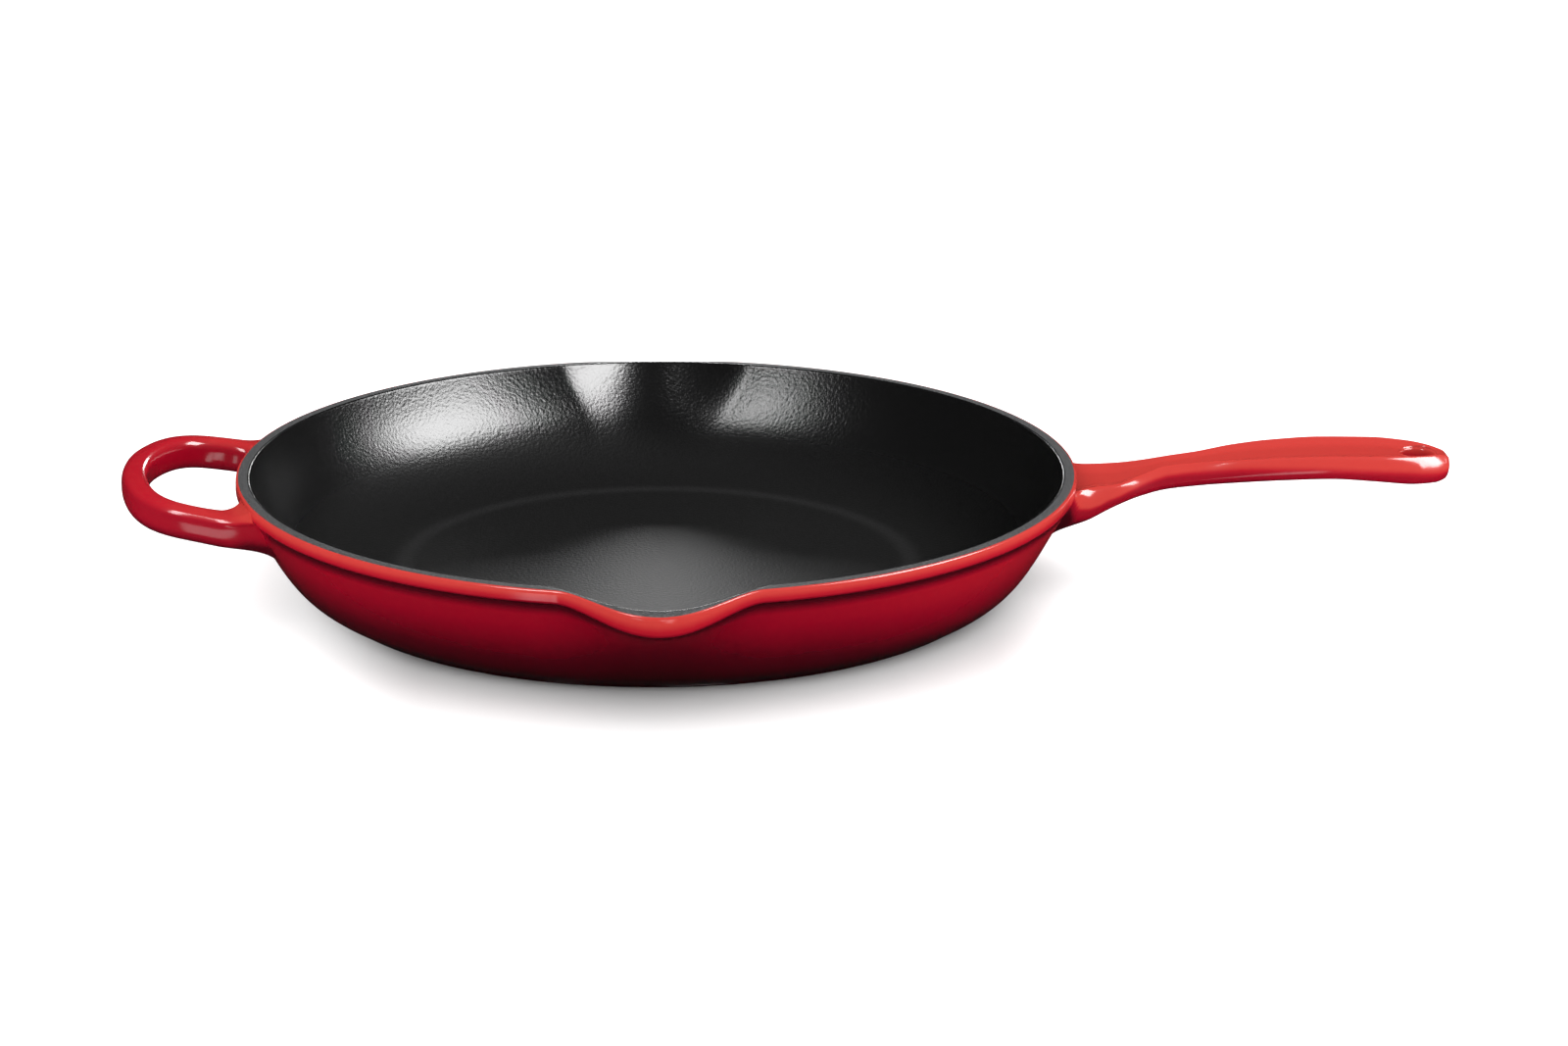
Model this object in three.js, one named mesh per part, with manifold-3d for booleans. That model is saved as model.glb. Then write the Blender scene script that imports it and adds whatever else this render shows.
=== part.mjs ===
// Enamelled cast iron skillet: one casting (bowl, long handle, helper handle) and its enamel coats.
// Millimetres. Origin at the centre of the flat base, +Z up, +X along the long handle,
// -X the helper handle, the two pouring lips on -Y and +Y.
import * as THREE from 'three';
import Module from 'manifold-3d';

const wasm = await Module();
wasm.setup();

// Driving dimensions
const RIM_RADIUS = 135;
const RIM_HEIGHT = 38.1;
const LIP_WIDTH = 3.4;
const COAT = 0.4;
const GAP = 0.3;

// Rim band: the thicker ring that runs round the outside just under the lip
const BAND_BULGE = 1.0;
const BAND_HEIGHT = 4.6;

// Base and floor
const FOOT_RADIUS = 110;
const FOOT_HEIGHT = 1.5;
const FLOOR_HEIGHT = 5.2;
const FLOOR_RADIUS = 82;

// Pouring lips: how far they reach out, dip down, and deepen the band
const SPOUT_REACH = 11.5;
const SPOUT_DIP = 2.7;
const SPOUT_BAND_EXTRA = 4.2;
const SPOUT_HALF_ANGLE = 13;
const SPOUT_HALF_ANGLE_INSIDE = 15;
const SPOUT_SHARPNESS = 1.66;

// Long handle
const HANDLE_END = 258.9;
const HANG_HOLE_X = HANDLE_END - 10.2;
const HANG_HOLE_HALF_LENGTH = 5.6;
const HANG_HOLE_HALF_WIDTH = 5.8;

// Helper handle: a closed loop with tall sides
const LOOP_TOP = RIM_HEIGHT - 3.8;
const LOOP_BOTTOM = RIM_HEIGHT - 14.5;
const LOOP_RISE = 0.17;
const LOOP_LEVEL_X = -134.5;
const LOOP_HALF_THICKNESS = 4.7;
const LOOP_ROUNDNESS = 3;

const smoothStep = (t) => {
  const s = THREE.MathUtils.clamp(t, 0, 1);
  return s * s * (3 - 2 * s);
};

// ---------------------------------------------------------------- solids from rings of points

// Joins a run of rings, each a list of [x, y, z]; a ring of one point is an apex.
// With wrap the last ring joins the first; without it open end rings get flat caps.
// Each four-sided face is split along its shorter diagonal, so nested surfaces fold alike.
function solidFromRings(rings, wrap = false) {
  const positions = [];
  const starts = rings.map((ring) => {
    const start = positions.length / 3;
    ring.forEach((point) => positions.push(...point));
    return start;
  });
  const corner = (index) => new THREE.Vector3().fromArray(positions, index * 3);
  const spacing = (first, second) => corner(first).distanceTo(corner(second));
  const triangles = [];
  const span = wrap ? rings.length : rings.length - 1;
  for (let i = 0; i < span; i += 1) {
    const j = (i + 1) % rings.length;
    const count = Math.max(rings[i].length, rings[j].length);
    for (let k = 0; k < count; k += 1) {
      const next = (k + 1) % count;
      const a = starts[i] + (rings[i].length === 1 ? 0 : k);
      const b = starts[i] + (rings[i].length === 1 ? 0 : next);
      const c = starts[j] + (rings[j].length === 1 ? 0 : next);
      const d = starts[j] + (rings[j].length === 1 ? 0 : k);
      if (a === b) triangles.push(a, c, d);
      else if (c === d) triangles.push(a, b, c);
      else if (spacing(a, c) <= spacing(b, d)) triangles.push(a, b, c, a, c, d);
      else triangles.push(a, b, d, b, c, d);
    }
  }
  if (!wrap) {
    capRing(rings[0], starts[0], positions, triangles, true);
    capRing(rings.at(-1), starts.at(-1), positions, triangles, false);
  }
  return outwardManifold(positions, triangles);
}

function capRing(ring, start, positions, triangles, first) {
  if (ring.length === 1) return;
  const centre = positions.length / 3;
  const middle = [0, 1, 2].map((axis) => ring.reduce((sum, p) => sum + p[axis], 0) / ring.length);
  positions.push(...middle);
  ring.forEach((_, k) => {
    const next = (k + 1) % ring.length;
    if (first) triangles.push(centre, start + next, start + k);
    else triangles.push(centre, start + k, start + next);
  });
}

function signedVolume(positions, triangles) {
  const corner = (index) => new THREE.Vector3().fromArray(positions, index * 3);
  let volume = 0;
  for (let t = 0; t < triangles.length; t += 3) {
    const a = corner(triangles[t]);
    volume += a.dot(corner(triangles[t + 1]).cross(corner(triangles[t + 2]))) / 6;
  }
  return volume;
}

function outwardManifold(positions, triangles) {
  const facing = signedVolume(positions, triangles) < 0 ? triangles.slice().reverse() : triangles;
  return new wasm.Manifold(new wasm.Mesh({
    numProp: 3,
    vertProperties: new Float32Array(positions),
    triVerts: new Uint32Array(facing),
  }));
}

function geometryFromManifold(solid) {
  const mesh = solid.getMesh();
  const geometry = new THREE.BufferGeometry();
  geometry.setAttribute('position', new THREE.BufferAttribute(new Float32Array(mesh.vertProperties), 3));
  geometry.setIndex(new THREE.BufferAttribute(new Uint32Array(mesh.triVerts), 1));
  return geometry;
}

// ---------------------------------------------------------------- bowl

// Angles round the bowl, closer together across the two pouring lips.
function ringAngles() {
  const angles = [];
  const quarter = Math.PI / 2;
  const lip = THREE.MathUtils.degToRad(16);
  const lipSteps = 10;
  const sideSteps = 18;
  for (const middle of [quarter, 3 * quarter]) {
    for (let i = 0; i < lipSteps; i += 1) angles.push(middle - lip + (2 * lip * i) / lipSteps);
    const side = Math.PI - 2 * lip;
    for (let i = 0; i < sideSteps; i += 1) angles.push(middle + lip + (side * i) / sideSteps);
  }
  return angles;
}

const ANGLES = ringAngles();

// 1 at the middle of a pouring lip, fading to 0 at its shoulders; the half angle is in degrees.
function spoutAmount(angle, halfAngle) {
  const fromLip = Math.abs(Math.abs(Math.atan2(Math.sin(angle), Math.cos(angle))) - Math.PI / 2);
  const share = THREE.MathUtils.radToDeg(fromLip) / halfAngle;
  return share > 1 ? 0 : Math.cos((Math.PI / 2) * share) ** SPOUT_SHARPNESS;
}

// A point of the round bowl, pushed out and down where a pouring lip is. Points on the inside
// give the half angle of the groove; on the outside the band also gets deeper under the lip.
function bowlPoint(radius, height, angle, insideHalfAngle) {
  const onOutside = insideHalfAngle === undefined;
  const amount = spoutAmount(angle, onOutside ? SPOUT_HALF_ANGLE : insideHalfAngle);
  const bandExtra = onOutside ? SPOUT_BAND_EXTRA : 0;
  const rise = THREE.MathUtils.clamp((height - 4) / (RIM_HEIGHT - 4), 0, 1) ** 1.5;
  const nearRim = smoothStep((height - 20) / (RIM_HEIGHT - 20));
  const below = THREE.MathUtils.clamp((RIM_HEIGHT - height) / BAND_HEIGHT, 0, 1);
  const out = radius + SPOUT_REACH * amount * rise;
  const up = height - SPOUT_DIP * amount * rise - bandExtra * amount * below * nearRim;
  return [out * Math.cos(angle), out * Math.sin(angle), up];
}

function curvePoints(corners, count) {
  const points = corners.map(([x, y]) => new THREE.Vector2(x, y));
  return new THREE.CubicBezierCurve(...points).getPoints(count).map((p) => [p.x, p.y]);
}

// Outside of the finished bowl, from the edge of the foot up to the lip, as [radius, height].
function outsideProfile() {
  const crease = RIM_RADIUS - 0.5;
  const wall = curvePoints([[91.6, -1.2], [120.7, -1.2], [120.5, 8.2], [134, 31.3]], 11)
    .filter(([radius, height]) => radius > FOOT_RADIUS + 0.6 && height > FOOT_HEIGHT);
  return [
    [FOOT_RADIUS - 0.6, 0],
    [FOOT_RADIUS, 0.6],
    ...wall,
    [crease, RIM_HEIGHT - BAND_HEIGHT],
    [RIM_RADIUS + BAND_BULGE, RIM_HEIGHT - 3.5],
    [RIM_RADIUS + BAND_BULGE, RIM_HEIGHT - 1.5],
    [RIM_RADIUS, RIM_HEIGHT - GAP - COAT],
  ];
}

// Half angle of a pouring lip's groove on the inside, which narrows as it runs down the wall.
function grooveHalfAngle(height) {
  return SPOUT_HALF_ANGLE_INSIDE - 3.5 * smoothStep((RIM_HEIGHT - height) / 22);
}

// Inside of the finished bowl, from the edge of the flat floor up to the lip, as
// [radius, height, half angle of the groove].
function insideProfile() {
  const lip = [RIM_RADIUS - LIP_WIDTH, RIM_HEIGHT - GAP - COAT];
  const wall = curvePoints([[FLOOR_RADIUS, FLOOR_HEIGHT], [114.5, FLOOR_HEIGHT], [122.5, 15], lip], 8);
  return wall.map(([radius, height]) => [radius, height, grooveHalfAngle(height)]);
}

// Moves a profile sideways by a distance; positive is to the left of its direction of travel.
function offsetProfile(points, distance) {
  return points.map(([radius, height, ...rest], i) => {
    const before = points[Math.max(i - 1, 0)];
    const after = points[Math.min(i + 1, points.length - 1)];
    const along = new THREE.Vector2(after[0] - before[0], after[1] - before[1]).normalize();
    return [radius - along.y * distance, height + along.x * distance, ...rest];
  });
}

const OUTSIDE = outsideProfile();
const INSIDE = insideProfile();
const TOP_OF_COATS = RIM_HEIGHT - GAP - COAT;

// Keeps the last point of an offset profile at a given height, so coats end level under the lip.
function endAt(points, height) {
  const [radius, , ...rest] = points.at(-1);
  return [...points.slice(0, -1), [radius, height, ...rest]];
}

function revolve(profile, wrap = false) {
  const rings = profile.map(([radius, height, halfAngle]) => (
    radius === 0 ? [[0, 0, height]] : ANGLES.map((angle) => bowlPoint(radius, height, angle, halfAngle))
  ));
  return solidFromRings(rings, wrap);
}

// The full volume inside an offset copy of the outside, used to trim the handle roots.
function bowlEnvelope(offset) {
  const shifted = offsetProfile(OUTSIDE, offset);
  const [rimRadius] = shifted.at(-1);
  return revolve([[0, -6], [FOOT_RADIUS, -6], ...shifted, [rimRadius, RIM_HEIGHT + 20], [0, RIM_HEIGHT + 20]]);
}

// Side coat, from the edge of the foot up to the lip.
function exteriorCoat() {
  const inner = endAt(offsetProfile(OUTSIDE, COAT), TOP_OF_COATS).slice(1);
  return revolve([...OUTSIDE.slice(1), ...inner.reverse()], true);
}

// Coat of the flat underside that the pan stands on.
function baseCoat() {
  const radius = FOOT_RADIUS - 0.6;
  return revolve([[0, 0], [radius, 0], [radius - 0.05, COAT], [0, COAT]]);
}

function interiorCoat() {
  const inner = [[0, FLOOR_HEIGHT], ...INSIDE];
  const outer = [[0, FLOOR_HEIGHT - COAT], ...endAt(offsetProfile(INSIDE, -COAT), TOP_OF_COATS)];
  return revolve([...outer, ...inner.reverse()]);
}

function rimCoat() {
  const low = RIM_HEIGHT - COAT;
  const inside = RIM_RADIUS - LIP_WIDTH;
  const groove = grooveHalfAngle(RIM_HEIGHT);
  return revolve([
    [inside, low, groove], [RIM_RADIUS, low], [RIM_RADIUS, RIM_HEIGHT], [inside, RIM_HEIGHT, groove],
  ], true);
}

function bowlCasting() {
  const depth = COAT + GAP;
  const outer = [[0, depth], ...endAt(offsetProfile(OUTSIDE, depth), TOP_OF_COATS)];
  const inner = [[0, FLOOR_HEIGHT - depth], ...endAt(offsetProfile(INSIDE, -depth), TOP_OF_COATS)];
  return revolve([...outer, ...inner.reverse()]);
}

// ---------------------------------------------------------------- handles

// Shrinks a closed outline of [y, z] points by a distance, towards its inside.
function shrinkOutline(outline, distance) {
  if (distance === 0) return outline;
  return outline.map(([y, z], i) => {
    const before = outline.at(i - 1);
    const after = outline[(i + 1) % outline.length];
    const along = new THREE.Vector2(after[0] - before[0], after[1] - before[1]).normalize();
    return [y + along.y * distance, z - along.x * distance];
  });
}

// One pass of corner cutting, which rounds a closed outline.
function cutCorners(outline) {
  return outline.flatMap(([y, z], i) => {
    const [nextY, nextZ] = outline[(i + 1) % outline.length];
    return [
      [0.75 * y + 0.25 * nextY, 0.75 * z + 0.25 * nextZ],
      [0.25 * y + 0.75 * nextY, 0.25 * z + 0.75 * nextZ],
    ];
  });
}

// Sections of the long handle. Widths are half widths; heights are above the rim.
// ridge and crest: the two raised edges on top; side: widest part; belly and under: underside.
const HANDLE_SECTIONS = [
  { x: 127.4, ridge: 19.5, crest: -5.4, side: 25.0, shoulder: 3.8, belly: 17.0, under: -22.1, dish: 1.0 },
  { x: 134.5, ridge: 16.0, crest: -4.9, side: 20.5, shoulder: 4.0, belly: 14.2, under: -18.8, dish: 1.2 },
  { x: 140.5, ridge: 13.4, crest: -4.4, side: 17.0, shoulder: 4.0, belly: 12.2, under: -15.9, dish: 1.3 },
  { x: 148.6, ridge: 12.2, crest: -3.8, side: 14.6, shoulder: 4.0, belly: 10.5, under: -12.2, dish: 1.4 },
  { x: 156.7, ridge: 8.4, crest: -1.9, side: 12.6, shoulder: 4.2, belly: 9.1, under: -9.3, dish: 1.4 },
  { x: 165.7, ridge: 5.6, crest: 0.4, side: 11.0, shoulder: 4.4, belly: 7.9, under: -7.3, dish: 1.1 },
  { x: 175.8, ridge: 6.3, crest: 1.7, side: 10.9, shoulder: 4.4, belly: 7.8, under: -6.2, dish: 1.0 },
  { x: 189.0, ridge: 9.4, crest: 3.3, side: 11.8, shoulder: 4.2, belly: 8.5, under: -5.1, dish: 1.2 },
  { x: 202.1, ridge: 11.1, crest: 4.4, side: 13.0, shoulder: 4.0, belly: 9.4, under: -4.2, dish: 1.4 },
  { x: 218.3, ridge: 11.9, crest: 5.1, side: 13.9, shoulder: 3.8, belly: 10.0, under: -3.6, dish: 1.5 },
  { x: 234.5, ridge: 11.6, crest: 5.0, side: 13.9, shoulder: 3.8, belly: 10.0, under: -4.6, dish: 1.5 },
  { x: 246.7, ridge: 9.5, crest: 4.4, side: 12.9, shoulder: 4.3, belly: 9.3, under: -5.6, dish: 1.5 },
  { x: 253.3, ridge: 6.0, crest: 3.9, side: 10.2, shoulder: 4.0, belly: 7.2, under: -5.5, dish: 0.6 },
  { x: 257.1, ridge: 3.8, crest: 2.8, side: 6.4, shoulder: 2.6, belly: 4.6, under: -4.4, dish: 0.1 },
];
const HANDLE_TIP_HEIGHT = RIM_HEIGHT - 0.4;

function handleOutline(section) {
  const { ridge, side, belly } = section;
  const crest = RIM_HEIGHT + section.crest;
  const under = RIM_HEIGHT + section.under;
  const sideTop = crest - section.shoulder;
  const sideLow = Math.min(under + 2.8, sideTop - 0.1);
  const right = [
    [0.6 * ridge, crest - section.dish],
    [0.9 * ridge, crest - 0.15],
    [1.1 * ridge, crest + 0.15],
    [side, sideTop],
    [side, sideLow],
    [belly, under - 0.1],
  ];
  const left = right.map(([y, z]) => [-y, z]).reverse();
  return cutCorners([[0, crest - section.dish], ...right, [0, under], ...left]);
}

// Sections at even steps along the listed ones, by smooth interpolation.
function handleSections() {
  const names = Object.keys(HANDLE_SECTIONS[0]);
  const line = (name) => new THREE.SplineCurve(HANDLE_SECTIONS.map((s, i) => new THREE.Vector2(i, s[name])));
  const lines = Object.fromEntries(names.map((name) => [name, line(name)]));
  const count = 19;
  return Array.from({ length: count + 1 }, (_, i) => (
    Object.fromEntries(names.map((name) => [name, lines[name].getPoint(i / count).y]))
  ));
}

function longHandleSolid(inset) {
  const rings = handleSections().map((section) => (
    shrinkOutline(handleOutline(section), inset).map(([y, z]) => [section.x - inset, y, z])
  ));
  rings[0] = rings[0].map(([, y, z]) => [HANDLE_SECTIONS[0].x, y, z]);
  const tip = [[HANDLE_END - inset, 0, HANDLE_TIP_HEIGHT]];
  return solidFromRings([...rings, tip]).subtract(hangHole(inset));
}

function hangHole(inset) {
  const steps = 20;
  const ring = (height) => Array.from({ length: steps }, (_, i) => {
    const angle = (2 * Math.PI * i) / steps;
    return [
      HANG_HOLE_X + (HANG_HOLE_HALF_LENGTH + inset) * Math.cos(angle),
      (HANG_HOLE_HALF_WIDTH + inset) * Math.sin(angle),
      height,
    ];
  });
  return solidFromRings([ring(RIM_HEIGHT - 12), ring(RIM_HEIGHT + 14)]);
}

// Plan of half the helper loop's centre line, from inside the bowl wall out to its far end.
// The loop climbs gently as it leaves the bowl.
const LOOP_PLAN = [
  [-112, 48.5], [-119, 46.9], [-126, 44.9], [-132.5, 42.8], [-138.2, 41.2], [-143.5, 40.2], [-148.4, 39.9],
  [-153.8, 38.8], [-158.7, 35.2], [-163.1, 28], [-166.3, 18.6], [-168.4, 8.9], [-168.7, 0],
];

function loopPath() {
  const half = LOOP_PLAN.map(([x, y]) => new THREE.Vector3(x, y, 0));
  const other = LOOP_PLAN.slice(0, -1).reverse().map(([x, y]) => new THREE.Vector3(x, -y, 0));
  return new THREE.CatmullRomCurve3([...half, ...other], false, 'centripetal');
}

function loopRing(point, along, inset) {
  const flare = smoothStep((point.x + 141) / 14);
  const slim = 0.5 * smoothStep((-150 - point.x) / 18);
  const across = new THREE.Vector2(along.y, -along.x).normalize();
  const halfThickness = LOOP_HALF_THICKNESS - slim + 3.2 * flare - inset;
  const lift = LOOP_RISE * Math.max(0, LOOP_LEVEL_X - point.x);
  const top = LOOP_TOP + lift + 0.2 * flare - inset;
  const bottom = LOOP_BOTTOM + lift - 2.5 * flare + inset;
  const steps = 12;
  return Array.from({ length: steps }, (_, i) => {
    const angle = (2 * Math.PI * (i + 0.5)) / steps;
    const rounded = (value) => Math.sign(value) * Math.abs(value) ** (2 / LOOP_ROUNDNESS);
    const sideways = halfThickness * rounded(Math.cos(angle));
    const up = (top + bottom) / 2 + ((top - bottom) / 2) * rounded(Math.sin(angle));
    return [point.x + across.x * sideways, point.y + across.y * sideways, up];
  });
}

function helperSolid(inset) {
  const path = loopPath();
  const steps = 28;
  const rings = Array.from({ length: steps + 1 }, (_, i) => (
    loopRing(path.getPointAt(i / steps), path.getTangentAt(i / steps), inset)
  ));
  return solidFromRings(rings);
}

// ---------------------------------------------------------------- assembly

const trimCoat = bowlEnvelope(-GAP);
const trimIron = bowlEnvelope(COAT);

// A handle's coat: its outside less everything inside the coat, cut clear of the bowl's coat.
function handleCoat(solidAt) {
  return solidAt(0).subtract(solidAt(COAT)).subtract(trimCoat);
}

// A handle's iron, reaching in through the window in the bowl's coat to the bowl's iron.
function handleIron(solidAt) {
  return solidAt(COAT + GAP).subtract(trimIron);
}

// The bowl's outside coat, open where the two handles grow out of the casting.
function exteriorCoatWithWindows() {
  return exteriorCoat().subtract(longHandleSolid(COAT)).subtract(helperSolid(COAT));
}

const skillet = new THREE.Group();
skillet.name = 'skillet';

function addPart(name, solid, material) {
  const mesh = new THREE.Mesh(geometryFromManifold(solid), new THREE.MeshStandardMaterial(material));
  mesh.name = name;
  skillet.add(mesh);
}

const IRON = { color: 0x4a4846, roughness: 0.7, metalness: 0.6 };
const RED_ENAMEL = { color: 0xb01822, roughness: 0.18, metalness: 0 };

addPart('bowl_casting', bowlCasting(), IRON);
addPart('long_handle_casting', handleIron(longHandleSolid), IRON);
addPart('helper_handle_casting', handleIron(helperSolid), IRON);
addPart('exterior_enamel', exteriorCoatWithWindows(), RED_ENAMEL);
addPart('base_enamel', baseCoat(), { color: 0x2a0a0e, roughness: 0.5, metalness: 0 });
addPart('interior_enamel', interiorCoat(), { color: 0x141414, roughness: 0.35, metalness: 0 });
addPart('rim_enamel', rimCoat(), { color: 0x5c5c5e, roughness: 0.8, metalness: 0 });
addPart('long_handle_enamel', handleCoat(longHandleSolid), RED_ENAMEL);
addPart('helper_handle_enamel', handleCoat(helperSolid), RED_ENAMEL);

export default skillet;
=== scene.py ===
import math

import bpy
import numpy as np
from mathutils import Matrix, Vector


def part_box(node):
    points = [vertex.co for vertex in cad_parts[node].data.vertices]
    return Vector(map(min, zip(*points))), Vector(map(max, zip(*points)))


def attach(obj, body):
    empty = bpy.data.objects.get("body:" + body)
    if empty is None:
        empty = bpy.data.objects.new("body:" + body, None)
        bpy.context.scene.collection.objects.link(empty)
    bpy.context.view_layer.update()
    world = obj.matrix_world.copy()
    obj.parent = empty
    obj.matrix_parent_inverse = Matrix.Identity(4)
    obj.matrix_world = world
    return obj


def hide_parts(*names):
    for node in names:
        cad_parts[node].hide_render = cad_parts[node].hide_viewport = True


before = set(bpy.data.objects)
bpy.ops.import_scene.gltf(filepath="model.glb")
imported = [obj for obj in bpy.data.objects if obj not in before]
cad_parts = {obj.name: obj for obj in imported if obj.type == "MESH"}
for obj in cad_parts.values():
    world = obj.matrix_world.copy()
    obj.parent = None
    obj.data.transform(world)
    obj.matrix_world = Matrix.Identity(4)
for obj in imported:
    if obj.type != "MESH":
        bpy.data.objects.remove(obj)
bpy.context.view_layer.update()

MM = 0.001

# ---------------------------------------------------------------- sizes, from the CAD frame


def high_corner(node):
    """The highest x, y and z of a CAD node, in mm."""
    return [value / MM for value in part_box(node)[1]]


RIM_RADIUS, RIM_REACH, RIM_HEIGHT = high_corner("rim_enamel")
LIP_WIDTH = 3.4
BAND_BULGE = 1.0
BAND_HEIGHT = 4.6
FOOT_RADIUS = high_corner("base_enamel")[0] + 0.6
FOOT_HEIGHT = 1.3
FLOOR_HEIGHT = 5.2
FLOOR_RADIUS = 82.0
SPOUT_REACH = RIM_REACH - RIM_RADIUS
SPOUT_DIP = 2.7
SPOUT_BAND_EXTRA = 4.2
SPOUT_HALF_ANGLE = 13.0
SPOUT_HALF_ANGLE_INSIDE = 15.0
SPOUT_SHARPNESS = 1.66
HANDLE_END = high_corner("long_handle_enamel")[0]
HANDLE_ROOT_X = 134.5
HANDLE_FLARE_X = 141.5
HANG_HOLE_X = HANDLE_END - 10.2
HANG_HOLE_HALF_LENGTH = 5.3
HANG_HOLE_HALF_WIDTH = 5.6
LOOP_TOP = RIM_HEIGHT - 3.8
LOOP_BOTTOM = RIM_HEIGHT - 14.5
LOOP_MIDDLE = 0.5 * (LOOP_TOP + LOOP_BOTTOM)
LOOP_HALF_HEIGHT = 0.5 * (LOOP_TOP - LOOP_BOTTOM)
LOOP_HALF_THICKNESS = 4.7
LOOP_SQUARENESS = 0.68
LOOP_RISE = 0.17
LOOP_LEVEL_X = -134.5


def smooth(value):
    t = np.clip(value, 0.0, 1.0)
    return t * t * (3.0 - 2.0 * t)


def curve_points(corners, count):
    t = np.linspace(0.0, 1.0, count)[:, None]
    a, b, c, d = (np.array(corner, float) for corner in corners)
    return (1 - t) ** 3 * a + 3 * (1 - t) ** 2 * t * b + 3 * (1 - t) * t * t * c + t**3 * d


def round_corner(before, corner, after, radius, steps=7):
    """Points of a soft bend that replaces a sharp corner of a profile."""
    before, corner, after = (np.array(p, float) for p in (before, corner, after))
    start = corner + (before - corner) * min(1.0, radius / np.linalg.norm(before - corner))
    end = corner + (after - corner) * min(1.0, radius / np.linalg.norm(after - corner))
    t = np.linspace(0.0, 1.0, steps)[:, None]
    return (1 - t) ** 2 * start + 2 * (1 - t) * t * corner + t * t * end


# ---------------------------------------------------------------- meshes from rings of points


def mesh_from_rings(name, rings, wrap=False, values=None):
    """A closed mesh through rings of points in mm. Unwrapped end rings are capped."""
    rings = np.asarray(rings, float)
    count, around = rings.shape[:2]
    points = rings.reshape(-1, 3) * MM
    faces = []
    for i in range(count if wrap else count - 1):
        j = (i + 1) % count
        for k in range(around):
            n = (k + 1) % around
            faces.append((i * around + k, i * around + n, j * around + n, j * around + k))
    if not wrap:
        faces.append(tuple(range(around - 1, -1, -1)))
        faces.append(tuple((count - 1) * around + k for k in range(around)))
    mesh = bpy.data.meshes.new(name)
    mesh.from_pydata(points.tolist(), [], faces)
    mesh.update()
    piece = bpy.data.objects.new(name, mesh)
    bpy.context.scene.collection.objects.link(piece)
    outward(mesh)
    for polygon in mesh.polygons:
        polygon.use_smooth = len(polygon.vertices) == 4
    if values is not None:
        set_glaze_and_shade(mesh, np.asarray(values, float).reshape(-1))
    return piece


def outward(mesh):
    """Turns every face over if the mesh is inside out."""
    corners = np.array([v.co[:] for v in mesh.vertices])
    volume = 0.0
    for polygon in mesh.polygons:
        ids = list(polygon.vertices)
        a = corners[ids[0]]
        for k in range(1, len(ids) - 1):
            volume += a @ np.cross(corners[ids[k]], corners[ids[k + 1]])
    if volume < 0:
        mesh.flip_normals()


def set_glaze_and_shade(mesh, values):
    """How thin the red coat is at each vertex, with painted light and shade mixed in: 1 is thin and
    orange, 0 is thick or shaded and near black.
    """
    layer = mesh.attributes.get("glaze_and_shade") or mesh.attributes.new("glaze_and_shade", "FLOAT", "POINT")
    layer.data.foreach_set("value", np.asarray(values, np.float32))


# ---------------------------------------------------------------- bowl


def ring_angles():
    """Angles round the bowl, closer together across the two pouring lips."""
    lip = math.radians(18)
    parts = []
    for middle in (0.5 * math.pi, 1.5 * math.pi):
        parts.append(np.linspace(middle - lip, middle + lip, 72, endpoint=False))
        parts.append(np.linspace(middle + lip, middle + math.pi - lip, 144, endpoint=False))
    return np.concatenate(parts)


ANGLES = ring_angles()


def spout_amount(angle, half_angle):
    """1 at the middle of a pouring lip, fading to 0 at its shoulders."""
    from_lip = np.abs(np.abs(np.arctan2(np.sin(angle), np.cos(angle))) - 0.5 * math.pi)
    turned = 0.5 * math.pi * np.minimum(np.degrees(from_lip) / half_angle, 1.0)
    return np.cos(turned) ** SPOUT_SHARPNESS


def groove_half_angle(height):
    """Half angle of a pouring lip's groove on the inside, which narrows as it runs down the wall."""
    return SPOUT_HALF_ANGLE_INSIDE - 3.5 * smooth((RIM_HEIGHT - height) / 22.0)


def bowl_points(radius, height, angle, inside_half_angle=None):
    """Points of the round bowl, pushed out and down where a pouring lip is.

    Points on the inside give the half angle of the groove; outside, the band also gets deeper there.
    """
    on_outside = inside_half_angle is None
    amount = spout_amount(angle, SPOUT_HALF_ANGLE if on_outside else inside_half_angle)
    band_extra = SPOUT_BAND_EXTRA if on_outside else 0.0
    rise = np.clip((height - 4.0) / (RIM_HEIGHT - 4.0), 0.0, 1.0) ** 1.5
    near_rim = smooth((height - 20.0) / (RIM_HEIGHT - 20.0))
    below = np.clip((RIM_HEIGHT - height) / BAND_HEIGHT, 0.0, 1.0)
    out = radius + SPOUT_REACH * amount * rise
    tilt = 0.22 * max(0.0, radius - (RIM_RADIUS - LIP_WIDTH)) * near_rim
    up = height - SPOUT_DIP * amount * rise - band_extra * amount * below * near_rim - tilt * amount
    return np.stack([out * np.cos(angle), out * np.sin(angle), up + 0 * angle], axis=-1)


# coat value by height below the rim: darker towards the bottom, partly the coat and partly painted
# shade; painted shade in the crease under the band and on the band's underside
GLAZE_AND_SHADE_HEIGHTS = np.array([-38.1, -37.0, -28.0, -13.0, -6.2, -5.3, -4.6, -4.0, -3.2, -2.2, 0.0])
GLAZE_AND_SHADE_VALUES = np.array([0.03, 0.05, 0.22, 0.52, 0.55, 0.16, 0.10, 0.34, 0.72, 0.95, 1.0])


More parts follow.
